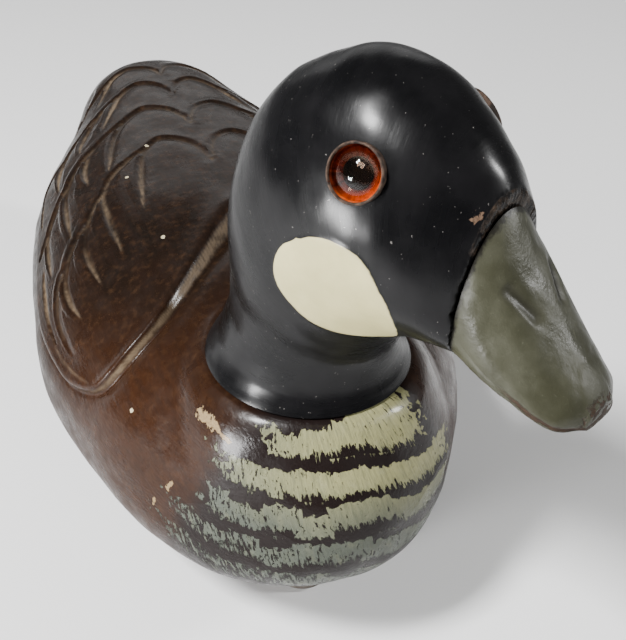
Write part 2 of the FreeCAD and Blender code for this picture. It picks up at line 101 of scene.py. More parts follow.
def through(points, place):
    """Values at the places of a smooth line through the points that doesn't overshoot."""
    x, y = np.array(points, float).T
    place = np.clip(np.asarray(place, float), x[0], x[-1])
    slope = np.diff(y) / np.diff(x)
    before, after = slope[:-1], slope[1:]
    same = before * after > 0
    lean = np.empty(len(x))
    lean[0], lean[-1] = slope[0], slope[-1]
    lean[1:-1] = np.where(same, 2 * before * after / np.where(same, before + after, 1), 0)
    i = np.clip(np.searchsorted(x, place, side="right") - 1, 0, len(slope) - 1)
    length = x[i + 1] - x[i]
    t = (place - x[i]) / length
    value = y[i] + (y[i + 1] - y[i]) * (3 - 2 * t) * t * t
    return value + length * (lean[i] * t * (1 - t) ** 2 + lean[i + 1] * t * t * (t - 1))


def crowded(low, high, count, weight):
    """Numbers from low to high, closer together where the weight is greater."""
    fine = np.linspace(low, high, 4000)
    run = np.concatenate([[0], np.cumsum(weight((fine[1:] + fine[:-1]) / 2))])
    return np.interp(np.linspace(0, run[-1], count), run, fine)


def smooth_step(low, high, value):
    t = np.clip((value - low) / (high - low), 0, 1)
    return t * t * (3 - 2 * t)


def smooth_max(a, b, blend):
    """The greater of two, rounded over where they are within the blend of each other."""
    near = np.clip(1 - np.abs(a - b) / blend, 0, 1)
    return np.maximum(a, b) + near * near * blend / 4


def outline(angle, half_width, low, widest, high, low_roundness=2.0, high_roundness=2.0):
    """Distance across and height of a rounded section at angles from its widest line."""
    upper = np.sin(angle) >= 0
    exponent = 2 / np.where(upper, high_roundness, low_roundness)
    across = half_width * np.sign(np.cos(angle)) * np.abs(np.cos(angle)) ** exponent
    edge = np.where(upper, high, low)
    return across, widest + (edge - widest) * np.abs(np.sin(angle)) ** exponent


def body_surface(station, angle):
    """The carved block before its grooves, with the neck's seat worked into it."""
    x, z = outline(angle, BODY_HALF_WIDTH * through(BODY_WIDTH, station), through(BELLY_LINE, station),
                   through(WIDEST_LINE, station), through(BACK_LINE, station), BELLY_ROUNDNESS,
                   BACK_ROUNDNESS)
    y = BODY_FRONT + BODY_LENGTH * (1 - np.cos(np.radians(station))) / 2 + 0 * x
    reach = np.hypot(x, y - NECK_Y)
    collar = 85.9 - np.maximum(reach - 26.5, 0) ** 2 / 9
    z = np.where(np.sin(angle) > 0, smooth_max(z, collar, 2.5), z)
    ceiling = 85.9 + np.maximum(reach - 28, 0) * 1.1
    z = np.where(reach < 34, -smooth_max(-z, -ceiling, 1.0), z)
    return np.stack([x, y, smooth_max(z, BODY_FLOOR + 0 * z, 0.6)], axis=-1)


def station_at(y):
    return np.degrees(np.arccos(np.clip(1 - 2 * (np.asarray(y, float) - BODY_FRONT) / BODY_LENGTH, -1, 1)))


def head_surface(degrees, angle):
    """The head and neck in the head's frame: fan angle, and angle round the section."""
    inner, outer = through(THROAT, degrees), through(CROWN, degrees)
    widest = inner + (outer - inner) * through(HEAD_WIDEST, degrees)
    x, away = outline(angle, through(HEAD_WIDTH, degrees), inner, widest, outer)
    turn = np.radians(degrees)
    return np.stack([x, away * np.cos(turn) - BILL_ROOT, away * np.sin(turn)], axis=-1)


def bill_surface(share, angle):
    """The bill in the head's frame."""
    low, high = through(BILL_FLOOR, share), through(CULMEN, share)
    x, z = outline(angle, through(BILL_WIDTH, share), low, low + (high - low) * BILL_WIDEST, high, 2.6)
    return np.stack([x, -BILL_ROOT - BILL_LENGTH * share + 0 * x, z], axis=-1)


def to_world(points):
    """From the head's frame to the body's."""
    turn = math.radians(HEAD_TURN)
    c, s = math.cos(turn), math.sin(turn)
    x, y, z = points[..., 0], points[..., 1], points[..., 2]
    return np.stack([c * x - s * y, s * x + c * y + NECK_Y, z + SEAT], axis=-1)


def head_spot(x, y, z):
    return tuple(to_world(np.array([x, y, z], float)).tolist())


def normals_of(grid, inside):
    """Unit normals of a grid whose second direction goes round, pointing away from a place inside."""
    along = np.gradient(grid, axis=0)
    around = np.roll(grid, -1, axis=1) - np.roll(grid, 1, axis=1)
    normal = np.cross(around, along)
    normal = normal / np.maximum(np.linalg.norm(normal, axis=-1, keepdims=True), 1e-9)
    return -normal if ((grid - np.array(inside)) * normal).sum() < 0 else normal


def mirrored(points):
    """The points with those of the right half moved over to the left half."""
    folded = points.copy()
    folded[:, 0] = np.abs(folded[:, 0])
    return folded


def smooth_path(points):
    """Points of a smooth path through the given ones, about one unit apart."""
    points = np.array(points, float)
    padded = np.vstack([2 * points[0] - points[1], points, 2 * points[-1] - points[-2]])
    pieces = []
    for a, b, c, d in zip(padded, padded[1:], padded[2:], padded[3:]):
        t = np.linspace(0, 1, 24, endpoint=False)[:, None]
        pieces.append(0.5 * (2 * b + (c - a) * t + (2 * a - 5 * b + 4 * c - d) * t ** 2
                             + (3 * b - a - 3 * c + d) * t ** 3))
    path = np.vstack(pieces + [points[-1:]])
    run = np.concatenate([[0], np.cumsum(np.linalg.norm(np.diff(path, axis=0), axis=1))])
    even = np.linspace(0, run[-1], max(int(run[-1]), 4))
    return np.stack([np.interp(even, run, path[:, k]) for k in range(path.shape[1])], axis=-1)


def noise(points, size, seed):
    """Smooth noise in -1..1 over points, as a sum of slanted waves."""
    dice = np.random.default_rng(seed)
    total = 0
    for _ in range(7):
        way = dice.normal(size=3)
        way /= np.linalg.norm(way)
        total = total + np.sin(points @ way * (2 * math.pi / size) * dice.uniform(0.6, 1.6)
                               + dice.uniform(0, 6.28))
    return total / 4


def mesh_object(name, points, faces, body, slot, world=True, attributes=None):
    """A mesh piece from points in millimetres, riding on a body if there is one."""
    mesh = bpy.data.meshes.new(name)
    placed = (points if world else to_world(points)) * MM
    mesh.from_pydata(placed.tolist(), [], faces)
    mesh.validate()
    piece = bpy.data.objects.new(name, mesh)
    bpy.context.scene.collection.objects.link(piece)
    mesh.polygons.foreach_set("use_smooth", [True] * len(mesh.polygons))
    for key, values in (attributes or {}).items():
        add_attribute(mesh, key, values)
    if body:
        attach(piece, body)
    return piece


def add_attribute(mesh, key, values):
    """Stores a number or a vector per vertex for the shaders."""
    vector = np.ndim(values) > 1
    layer = mesh.attributes.new(key, "FLOAT_VECTOR" if vector else "FLOAT", "POINT")
    flat = np.ascontiguousarray(values, dtype=np.float32).ravel()
    layer.data.foreach_set("vector" if vector else "value", flat)


def grid_faces(rows, columns):
    """Faces of a tube of rows by columns points, with an end cap on both ends."""
    faces = []
    for i in range(rows - 1):
        for j in range(columns):
            k = (j + 1) % columns
            faces.append((i * columns + j, i * columns + k, (i + 1) * columns + k, (i + 1) * columns + j))
    faces.append(tuple(reversed(range(columns))))
    faces.append(tuple(range((rows - 1) * columns, rows * columns)))
    return faces


# ---- shaders

class Shader:
    """A node material and short ways to add to it. Lengths in it are millimetres."""

    def __init__(self, name):
        self.material = bpy.data.materials.new(name)
        self.material.use_nodes = True
        self.tree = self.material.node_tree
        self.surface = self.tree.nodes["Principled BSDF"]
        coordinates = self.tree.nodes.new("ShaderNodeTexCoord")
        self.place = self.vector("SCALE", coordinates.outputs["Object"], scale=1000)

    def plug(self, socket, value):
        """Links or sets an input; a colour's three numbers get their fourth."""
        if isinstance(value, bpy.types.NodeSocket):
            self.tree.links.new(value, socket)
        elif value is not None:
            socket.default_value = (*value, 1) if socket.type == "RGBA" else value

    def set(self, **values):
        """Sets or links inputs of the surface; underscores stand for spaces."""
        for key, value in values.items():
            self.plug(self.surface.inputs[key.replace("_", " ")], value)

    def math(self, operation, a, b=None, c=None, clamp=False):
        node = self.tree.nodes.new("ShaderNodeMath")
        node.operation = operation
        node.use_clamp = clamp
        for socket, value in zip(node.inputs, (a, b, c)):
            self.plug(socket, value)
        return node.outputs[0]

    def add(self, a, b, clamp=False):
        return self.math("ADD", a, b, clamp=clamp)

    def less(self, a, b):
        return self.math("SUBTRACT", a, b)

    def times(self, a, b):
        return self.math("MULTIPLY", a, b)

    def sway(self, value, amount):
        """A value of 0 to 1 turned into one that goes half the amount either way."""
        return self.times(self.less(value, 0.5), amount)

    def vector(self, operation, a, b=None, scale=None):
        node = self.tree.nodes.new("ShaderNodeVectorMath")
        node.operation = operation
        self.plug(node.inputs[0], a)
        self.plug(node.inputs[1], b)
        if scale is not None:
            self.plug(node.inputs["Scale"], scale)
        return node.outputs["Value" if operation in ("LENGTH", "DOT_PRODUCT") else 0]

    def attribute(self, name, part="Fac"):
        node = self.tree.nodes.new("ShaderNodeAttribute")
        node.attribute_name = name
        return node.outputs[part]

    def split(self, vector):
        node = self.tree.nodes.new("ShaderNodeSeparateXYZ")
        self.plug(node.inputs[0], vector)
        return node.outputs[0], node.outputs[1], node.outputs[2]

    def join(self, x, y, z=0.0):
        node = self.tree.nodes.new("ShaderNodeCombineXYZ")
        for socket, value in zip(node.inputs, (x, y, z)):
            self.plug(socket, value)
        return node.outputs[0]

    def noise(self, size, vector=None, stretch=(1, 1, 1), detail=3.0, roughness=0.55):
        """Noise whose lumps are about a size in millimetres across."""
        base = vector if vector is not None else self.place
        node = self.tree.nodes.new("ShaderNodeTexNoise")
        scaled = self.vector("MULTIPLY", base, tuple(1 / (size * s) for s in stretch))
        self.plug(node.inputs["Vector"], scaled)
        node.inputs["Scale"].default_value = 1.0
        node.inputs["Detail"].default_value = detail
        node.inputs["Roughness"].default_value = roughness
        return node.outputs[0]

    def dice(self, vector):
        """A random number per whole-numbered place."""
        node = self.tree.nodes.new("ShaderNodeTexWhiteNoise")
        node.noise_dimensions = "3D"
        self.plug(node.inputs["Vector"], vector)
        return node.outputs["Value"]

    def ramp(self, value, low, high, start=0.0, stop=1.0):
        """Eases from start to stop as the value goes from low to high."""
        node = self.tree.nodes.new("ShaderNodeMapRange")
        node.interpolation_type = "SMOOTHSTEP"
        for socket, number in zip(node.inputs, (value, low, high, start, stop)):
            self.plug(socket, number)
        return node.outputs[0]

    def mix(self, share, first, second):
        """Mixes two colours."""
        node = self.tree.nodes.new("ShaderNodeMix")
        node.data_type = "RGBA"
        self.plug(node.inputs[0], share)
        self.plug(node.inputs[6], first)
        self.plug(node.inputs[7], second)
        return node.outputs[2]

    def blend(self, share, first, second):
        """Mixes two numbers."""
        return self.add(self.times(self.less(1, share), first), self.times(share, second))

    def mark(self, start, end, radius, ragged=0.5, size=1.2):
        """How much a point lies on a ragged streak between two places; a spot if they are the same."""
        reach = Vector(end) - Vector(start)
        rest = self.vector("SUBTRACT", self.place, tuple(start))
        if reach.length > 0:
            share = self.math("DIVIDE", self.vector("DOT_PRODUCT", rest, tuple(reach)),
                              reach.length_squared, clamp=True)
            rest = self.vector("SUBTRACT", rest, self.vector("SCALE", tuple(reach), scale=share))
        wobble = self.sway(self.noise(size), 4 * ragged * radius)
        distance = self.add(self.vector("LENGTH", rest), wobble)
        return self.ramp(distance, radius * 0.85, radius * 1.1, 1, 0)

    def most(self, *masks):
        total = masks[0]
        for mask in masks[1:]:
            total = self.math("MAXIMUM", total, mask)
        return total

    def bump(self, height, depth, strength=1.0):
        """Relief of a depth in millimetres, on top of any relief there already is."""
        node = self.tree.nodes.new("ShaderNodeBump")
        node.inputs["Strength"].default_value = strength
        node.inputs["Distance"].default_value = depth * MM
        self.plug(node.inputs["Height"], height)
        normal = self.surface.inputs["Normal"]
        if normal.links:
            self.plug(node.inputs["Normal"], normal.links[0].from_socket)
        self.tree.links.new(node.outputs[0], normal)


def breast_bars(shader):
    """Ragged rows of brushed dabs over the breast: where the paint is, and the values it comes from."""
    across, down, swing = shader.split(shader.attribute("breast", "Vector"))
    slow = shader.noise(16, shader.join(across, down, 3.0), detail=1)
    bent = shader.add(across, shader.times(slow, 14))
    row_first = shader.math("FLOOR", shader.math("DIVIDE", shader.add(down, 1.5), ROW_PITCH))
    cell = shader.join(shader.math("FLOOR", shader.math("DIVIDE", bent, 8.5)), row_first, 0.5)
    lift = shader.sway(shader.dice(cell), 2.8)
    wave = shader.sway(shader.noise(26, shader.join(across, down, 8.0)), 7)
    level = shader.add(shader.add(down, lift), wave)
    row = shader.math("MAXIMUM", shader.math("FLOOR", shader.math("DIVIDE", level, ROW_PITCH)), 0)
    depth = shader.less(level, shader.times(row, ROW_PITCH))
    slant = shader.add(across, shader.times(down, -0.22))
    flat = shader.join(slant, down, 0.0)
    bristle = shader.noise(0.8, flat, stretch=(1, 7, 1), detail=4, roughness=0.65)
    broad = shader.noise(3.0, flat, stretch=(1, 1.5, 1), detail=3)
    rim = shader.noise(2.2, shader.join(across, down, 4.0), detail=3)
    high = shader.add(1.2, shader.sway(rim, 5.0))
    by_neck = shader.times(shader.ramp(row, 0.2, 0.8, 1, 0), shader.ramp(across, -2, 10))
    high = shader.less(high, shader.times(by_neck, 7))
    low = shader.add(7.6, shader.add(shader.sway(bristle, 9.0), shader.sway(broad, 5.0)))
    paint = shader.times(shader.ramp(shader.less(depth, high), -0.12, 0.12),
                         shader.ramp(shader.less(depth, low), -0.15, 0.15, 1, 0))
    limit = shader.add(shader.math("MULTIPLY_ADD", row, 10, 40),
                       shader.sway(shader.dice(shader.join(row, 2.0, 7.0)), 10))
    edge = shader.add(shader.add(swing, shader.sway(broad, 16)), shader.sway(rim, 45))
    inside = shader.ramp(shader.less(edge, limit), -0.6, 0.6, 1, 0)
    ends = shader.ramp(level, 50, 53, 1, 0)
    thin = shader.add(shader.ramp(level, 12, 50, 0, 0.1), shader.ramp(across, 5, -40, 0, 0.1))
    gaps = shader.noise(1.0, shader.join(slant, down, 9.0), stretch=(1, 3.5, 1), detail=4, roughness=0.7)
    thin = shader.add(thin, shader.times(by_neck, 0.05))
    solid = shader.ramp(shader.less(gaps, thin), 0.3, 0.34)
    paint = shader.times(shader.times(paint, inside), shader.times(ends, solid))
    return paint, level, bristle, broad, across, swing, down


def body_material():
    shader = Shader("stained_carved_wood")
    tone = shader.attribute("tone")
    groove = shader.attribute("groove")
    grain = shader.noise(1.6, stretch=(1, 14, 1), detail=5)
    cloud = shader.noise(16, detail=3)
    mottle = shader.noise(2.2, detail=4)
    warmth = shader.add(tone, shader.sway(cloud, 0.5), clamp=True)
    stain = shader.mix(warmth, (0.006, 0.0036, 0.0024), (0.023, 0.0086, 0.0035))
    stain = shader.mix(shader.ramp(grain, 0.35, 0.75, 0, 0.55), stain, (0.012, 0.006, 0.004))
    stain = shader.mix(shader.ramp(mottle, 0.45, 0.8, 0, 0.22), stain, (0.07, 0.034, 0.015))
    paint, level, bristle, broad, across, swing, down = breast_bars(shader)
    side = shader.less(shader.add(swing, shader.sway(cloud, 22)), shader.times(down, 0.55))
    bib = shader.times(shader.ramp(side, 38, 58, 1, 0), shader.ramp(down, 52, 64, 1, 0))
    stain = shader.mix(bib, stain, (0.0085, 0.0055, 0.005))
    # Pale lines along the grooves: partly bare wood, partly a painted highlight on the lit groove walls.
    lines = shader.times(groove, shader.ramp(shader.noise(2.5, detail=4), 0.3, 0.6, 0.6, 1))
    stain = shader.mix(shader.ramp(lines, 0.05, 0.8), stain, (0.13, 0.094, 0.06))
    stain = shader.mix(shader.ramp(lines, 0.8, 1.5), stain, (0.4, 0.31, 0.19))
    faded = shader.add(shader.ramp(level, 12, 38), shader.ramp(across, 0, -45, 0, 0.6), clamp=True)
    cream = shader.mix(faded, (0.23, 0.222, 0.108), (0.08, 0.09, 0.07))
    cream = shader.mix(shader.ramp(bristle, 0.4, 0.7, 0.0, 0.6), cream, (0.075, 0.08, 0.048))
    cream = shader.mix(shader.ramp(broad, 0.5, 0.75, 0.0, 0.35), cream, (0.26, 0.255, 0.15))
    cream = shader.mix(shader.times(faded, 0.55), cream, (0.045, 0.05, 0.042))
    stain = shader.mix(paint, stain, cream)
    flecks = shader.most(*(shader.mark(at, at, 0.75, 0.3) for at in
                           ((-25.8, 1.8, 88.8), (-29.2, 40.6, 88.8), (-18.7, 58.6, 90.5),
                            (-47, -50, 69), (20, 20, 90), (34, -14, 84))))
    scuffs = shader.most(shader.mark((-32.4, -68, 80.2), (-30.2, -73, 80), 1.5, 0.7, 1.1),
                         shader.mark((-30.2, -73, 80), (-28, -78.4, 78.8), 0.7, 0.8, 1.1),
                         shader.mark((-41.2, -70.5, 60), (-42.2, -69.3, 57), 0.6, 0.8, 0.9),
                         shader.mark((-45.3, -65.8, 50), (-45.8, -65, 47), 0.6, 0.8, 0.9))
    # Bare wood where scuffs go through the stain.
    bare_wood_and_highlight = shader.mix(shader.noise(0.5), (0.1, 0.062, 0.03), (0.32, 0.23, 0.12))
    stain = shader.mix(scuffs, stain, bare_wood_and_highlight)
    stain = shader.mix(flecks, stain, (0.42, 0.36, 0.24))
    crack = shader.mark((-57, -40, 57), (-59, -36, 47), 0.22, 0.5, 2.0)
    stain = shader.mix(crack, stain, (0.002, 0.0015, 0.001))
    height = shader.split(shader.place)[2]
    shader.set(Base_Color=stain, IOR=1.5, Specular_IOR_Level=shader.ramp(height, 40, 84, 0.05, 0.15),
               Coat_Weight=shader.ramp(height, 58, 84, 0, 0.16), Coat_Roughness=0.14)
    wear = shader.ramp(shader.noise(7, detail=5), 0.35, 0.7, 0.24, 0.4)
    shader.set(Roughness=shader.blend(shader.most(lines, scuffs), wear, 0.6))
    shader.bump(shader.noise(0.9, stretch=(1, 9, 1), detail=4), 0.12)
    shader.bump(shader.noise(6, detail=3), 0.35, 0.6)
    shader.bump(paint, 0.12)
    shader.bump(shader.times(paint, bristle), 0.1)
    shader.bump(shader.less(1, shader.most(crack, flecks, scuffs)), 0.3)
    return shader.material


def head_material():
    shader = Shader("black_painted_wood")
    flow = shader.attribute("flow", "Vector")
    patch = shader.attribute("patch")
    front = shader.attribute("front")
    strokes = shader.noise(0.35, flow, stretch=(1, 14, 1), detail=4, roughness=0.6)
    strokes_broad = shader.noise(1.8, flow, stretch=(1, 9, 1), detail=4)
    cloud = shader.noise(12, detail=3)
    black = shader.mix(shader.ramp(cloud, 0.3, 0.75), (0.0022, 0.0022, 0.0025), (0.0055, 0.0053, 0.0058))
    black = shader.mix(shader.ramp(strokes, 0.6, 0.8, 0, 0.25), black, (0.018, 0.017, 0.017))
    specks = shader.ramp(shader.noise(1.1, detail=1), 0.8, 0.83)
    dust = shader.ramp(shader.noise(0.9, detail=2), 0.725, 0.745)
    black = shader.mix(shader.times(dust, 0.6), black, (0.16, 0.15, 0.14))
    edge = shader.add(patch, shader.sway(shader.noise(3.0, detail=3), 0.5))
    cheek = shader.ramp(edge, -0.12, 0.12, 1, 0)
    blotch = shader.noise(9, detail=4)
    cream = shader.mix(shader.ramp(blotch, 0.3, 0.7), (0.47, 0.425, 0.215), (0.41, 0.37, 0.185))
    spots = shader.ramp(shader.noise(0.8, detail=2), 0.76, 0.8, 0, 0.5)
    cream = shader.mix(spots, cream, (0.25, 0.21, 0.14))
    rim = shader.times(cheek, shader.ramp(edge, -0.9, 0.0, 0, 0.35))
    cream = shader.mix(rim, cream, (0.36, 0.31, 0.19))
    colour = shader.mix(cheek, black, cream)
    worn = shader.times(shader.ramp(front, 0.25, 0.6),
                        shader.ramp(shader.noise(2.2, detail=5, roughness=0.7), 0.38, 0.62))
    wood = shader.mix(shader.noise(1.2, detail=3), (0.006, 0.005, 0.004), (0.07, 0.048, 0.034))
    colour = shader.mix(worn, colour, wood)
    chip = shader.most(
        shader.mark(head_spot(-9.5, -50.3, 67.6), head_spot(-8.2, -51.6, 68), 1.1, 0.8),
        shader.mark(head_spot(-11.8, -48.8, 67), head_spot(-9.8, -50, 67.9), 0.6, 0.8))
    chip_wood = shader.mix(shader.noise(0.7), (0.05, 0.03, 0.02), (0.16, 0.1, 0.065))
    colour = shader.mix(chip, colour, chip_wood)
    worn = shader.most(worn, chip)
    shader.set(Base_Color=colour, IOR=1.12, Coat_Weight=0.26, Coat_Roughness=0.22)
    gloss = shader.ramp(strokes_broad, 0.3, 0.75, 0.24, 0.36)
    gloss = shader.add(gloss, shader.ramp(cloud, 0.3, 0.8, -0.03, 0.08))
    shader.set(Roughness=shader.blend(worn, shader.blend(cheek, gloss, 0.36), 0.75))
    shader.bump(strokes, 0.03)
    shader.bump(strokes_broad, 0.055)
    shader.bump(shader.noise(4, detail=4), 0.2, 0.5)
    shader.bump(cheek, 0.16)
    shader.bump(specks, 0.15)
    shader.bump(shader.times(worn, shader.noise(0.8)), 0.6)
    return shader.material


def bill_material():
    shader = Shader("olive_painted_wood")
    run, rim, edge = shader.split(shader.attribute("bill", "Vector"))
    cloud = shader.noise(7, detail=4)
    fine = shader.noise(0.6, stretch=(1, 3, 1), detail=4)
    olive = shader.mix(shader.ramp(cloud, 0.3, 0.7), (0.028, 0.028, 0.017), (0.042, 0.042, 0.028))
    olive = shader.mix(shader.ramp(fine, 0.62, 0.8, 0, 0.4), olive, (0.09, 0.09, 0.068))
    jitter = shader.sway(shader.noise(1.8, detail=5, roughness=0.7), 3.2)
    off_line = shader.math("ABSOLUTE", shader.add(rim, shader.times(jitter, 0.6)))
    line = shader.times(shader.ramp(off_line, 0.25, 0.75, 1, 0), shader.ramp(run, 0.42, 0.6))
    tip = shader.ramp(shader.add(run, shader.times(jitter, 0.035)), 0.95, 0.985)
    flaked = shader.ramp(shader.noise(2.0, detail=3), 0.45, 0.52)
    chipped = shader.most(line, shader.times(tip, flaked))
    dirt = shader.mix(shader.noise(1.0), (0.006, 0.005, 0.004), (0.05, 0.028, 0.016))
    olive = shader.mix(chipped, olive, dirt)
    nostril = shader.attribute("nostril")
    olive = shader.mix(shader.times(nostril, 0.75), olive, (0.016, 0.015, 0.011))
    scratch = shader.ramp(shader.noise(0.8, stretch=(1, 9, 4), detail=2), 0.72, 0.77)
    scratch = shader.times(scratch, shader.ramp(run, 0.0, 0.5, 1, 0.25))
    olive = shader.mix(shader.times(scratch, 0.55), olive, (0.24, 0.23, 0.17))
    # Painted shade: a dark band along the bill's root, where the head stands proud of the bill.
    root_shadow_band = shader.ramp(shader.add(edge, jitter), 0.3, 1.2, 1, 0)
    olive = shader.mix(shader.times(root_shadow_band, 0.85), olive, (0.007, 0.006, 0.005))
    shader.set(Base_Color=olive, IOR=1.26)
    shader.set(Roughness=shader.blend(chipped, shader.ramp(cloud, 0.3, 0.7, 0.3, 0.46), 0.7))
    shader.bump(fine, 0.06)
    shader.bump(shader.noise(4, detail=3), 0.2, 0.7)
    shader.bump(shader.less(1, chipped), 0.25)
    return shader.material


def plain_wood(name, dark, light, roughness, grain_axis=(1, 14, 1)):
    shader = Shader(name)
    grain = shader.noise(1.4, stretch=grain_axis, detail=5)
    rings = shader.noise(6, stretch=grain_axis, detail=2)
    colour = shader.mix(grain, dark, light)
    colour = shader.mix(shader.ramp(rings, 0.5, 0.62, 0, 0.5), colour, dark)
    stains = shader.ramp(shader.noise(9, detail=4), 0.55, 0.75, 0, 0.5)
    shader.set(Base_Color=shader.mix(stains, colour, tuple(c * 0.4 for c in dark)), IOR=1.48)
    shader.set(Roughness=shader.ramp(grain, 0.3, 0.7, roughness, roughness + 0.15))
    shader.bump(grain, 0.15)
    return shader.material


def metal(name, colour, stain, roughness, metallic=1.0, relief=0.05):
    shader = Shader(name)
    spots = shader.ramp(shader.noise(2.5, detail=5, roughness=0.7), 0.45, 0.7)
    shader.set(Base_Color=shader.mix(spots, colour, stain), Metallic=metallic)
    shader.set(Roughness=shader.ramp(spots, 0, 1, roughness, roughness + 0.25))
    shader.bump(shader.noise(0.5, detail=3), relief)
    return shader.material


def eye_materials():
    """Amber iris with a painted bright crescent of focused light, black pupil, clear glass and the putty
    round them.
    """
    iris = Shader("amber_iris")
    ring = iris.attribute("ring")
    spoke = iris.attribute("spoke", "Vector")
    streaks = iris.noise(0.5, spoke, detail=4)
    # A painted bright crescent on one side of the iris, standing in for light that the glass dome focuses
    # there.
    painted_light_crescent = iris.ramp(iris.vector("DOT_PRODUCT", spoke, (0.21, -0.27, 0)), 0.1, 1)
    outer = iris.mix(painted_light_crescent, (0.02, 0.0035, 0.0018), (0.55, 0.09, 0.012))
    amber = iris.mix(iris.ramp(ring, 0.5, 0.9), (0.01, 0.0025, 0.0015), outer)
    amber = iris.mix(iris.ramp(streaks, 0.35, 0.75, 0, 0.6), amber, (0.1, 0.014, 0.004))
    iris.set(Base_Color=amber, Roughness=0.8, Specular_IOR_Level=0.0)
    pupil = Shader("black_glass")
    dark = pupil.mix(pupil.noise(1.5), (0.002, 0.002, 0.002), (0.006, 0.0045, 0.004))
    pupil.set(Base_Color=dark, Roughness=0.9, Specular_IOR_Level=0.0)
    glass = Shader("clear_eye_glass")
    tint = glass.mix(glass.noise(3.0), (0.95, 0.72, 0.55), (0.9, 0.66, 0.5))
    glass.set(Base_Color=tint, Roughness=0.015, Transmission_Weight=1.0, IOR=1.33)
    putty = Shader("brown_putty")
    lumps = putty.noise(1.3, detail=5)
    brown = putty.mix(putty.ramp(lumps, 0.35, 0.7), (0.012, 0.008, 0.006), (0.075, 0.048, 0.034))
    putty.set(Base_Color=brown, Roughness=putty.ramp(lumps, 0.3, 0.7, 0.6, 0.8), Specular_IOR_Level=0.15)
    putty.bump(lumps, 0.3)
    return iris.material, pupil.material, glass.material, putty.material


# ---- body

def feather_paths():
    """Every carved line of the right half: (points, width, depth, step up on one side of it)."""
    lines = [(WING_EDGE, *EDGE_CUT), (WING_FOLD, *FOLD_CUT)]
    for (valley, tip, tip_at, side, end), beside in FEATHER_ROWS:
        rise, fall = tip - valley, tip - end
        middle = [(0, valley), (0.08 * tip_at, valley + 0.35 * rise),
                  (0.3 * tip_at, valley + 0.75 * rise), (0.75 * tip_at, tip), (1.15 * tip_at, tip),
                  (0.6 * side + 0.4 * tip_at, tip - 0.2 * fall), (0.9 * side, tip - 0.5 * fall),
                  (side, end)]
        lines.append((middle, *FEATHER_CUT))
        for start, start_y, out, end_y in beside:
            span = out - start
            feather = [(start, start_y), (start + 0.38 * span, start_y - 5),
                       (start + 0.72 * span, start_y - 11), (start + 0.95 * span, start_y - 18),
                       (out + 0.5, start_y - 27), (out - 1, min(end_y, start_y - 30))]
            lines.append((feather, *FEATHER_CUT))
    return lines


def carving(points, normals):
    """Height to add along the normals, and how pale the grooves are at points of the body: bare wood and a
    painted highlight.
    """
    height = np.zeros(len(points))
    bare_wood_and_highlight = np.zeros(len(points))
    top = np.flatnonzero(points[:, 2] > 40)
    for line, width, depth, step in feather_paths():
        flat = smooth_path(line)
        run = np.linspace(0, 1, len(flat))
        bold = np.interp(run, [0, 0.45, 0.75, 1], [0.7, 0.8, 1, 0.05])
        pale = np.interp(run, [0, 0.5, 0.65], [0.6, 0.45, 0.95])
        bold = bold * (1 - 0.5 * smooth_step(58, 70, flat[:, 0]))
        spread = 0.6 + 0.5 * bold
        if line is WING_EDGE:
            bold = np.interp(run, [0, 0.13, 0.3, 0.4, 0.6, 1], [1.6, 1.2, 1.0, 0.8, 0.5, 0.2])
            # Paler along one stretch of the wing's front edge: a painted highlight on the groove.
            pale = np.interp(run, [0, 0.15, 0.28, 0.36, 1], [0.8, 1.2, 1.8, 0.6, 0.5])
            spread = np.interp(run, [0, 0.12, 0.22, 0.34, 0.5], [2.6, 1.5, 1.0, 1.0, 1.3])
        for side in (-1, 1):
            angle = np.radians(90 - side * flat[:, 0])
            curve = body_surface(station_at(flat[:, 1]), angle)
            ahead = np.gradient(curve, axis=0)
            ahead /= np.linalg.norm(ahead, axis=1, keepdims=True)
            low, high = curve.min(0) - 9, curve.max(0) + 9
            near = top[((points[top] > low) & (points[top] < high)).all(1)]
            for block in np.array_split(near, max(len(near) // 4000, 1)):
                gap = points[block][:, None, :] - curve[None, :, :]
                nearest = np.argmin((gap ** 2).sum(2), axis=1)
                rest = gap[np.arange(len(block)), nearest]
                forward = ahead[nearest]
                along = (rest * forward).sum(1)
                rest = rest - along[:, None] * forward
                beyond = np.where((nearest == 0) | (nearest == len(curve) - 1), np.abs(along), 0)
                distance = np.sqrt((rest ** 2).sum(1) + beyond ** 2)
                handed = (rest * np.cross(normals[block], forward)).sum(1) * side
                force = bold[nearest]
                wide = width * spread[nearest]
                dip = -depth * force * np.exp(-(distance / wide) ** 2)
                shelf = step * force * np.exp(-(distance / (3.4 * wide)) ** 2) * np.tanh(handed / 1.2)
                height[block] = np.where(np.abs(dip) > np.abs(height[block]), dip + shelf, height[block])
                # The pale line sits to one side of the groove: partly bare wood, partly a painted highlight
                # on the lit groove wall.
                off_middle = (distance + 0.35 * handed) / (0.78 * wide)
                shade = pale[nearest] * force ** 0.5 * np.exp(-off_middle ** 2)
                bare_wood_and_highlight[block] = np.maximum(bare_wood_and_highlight[block], shade)
    return height, bare_wood_and_highlight


def tool_marks(points):
    """Slight unevenness of a hand-carved block."""
    return 0.35 * noise(points, 46, 11) + 0.12 * noise(points, 15, 12)


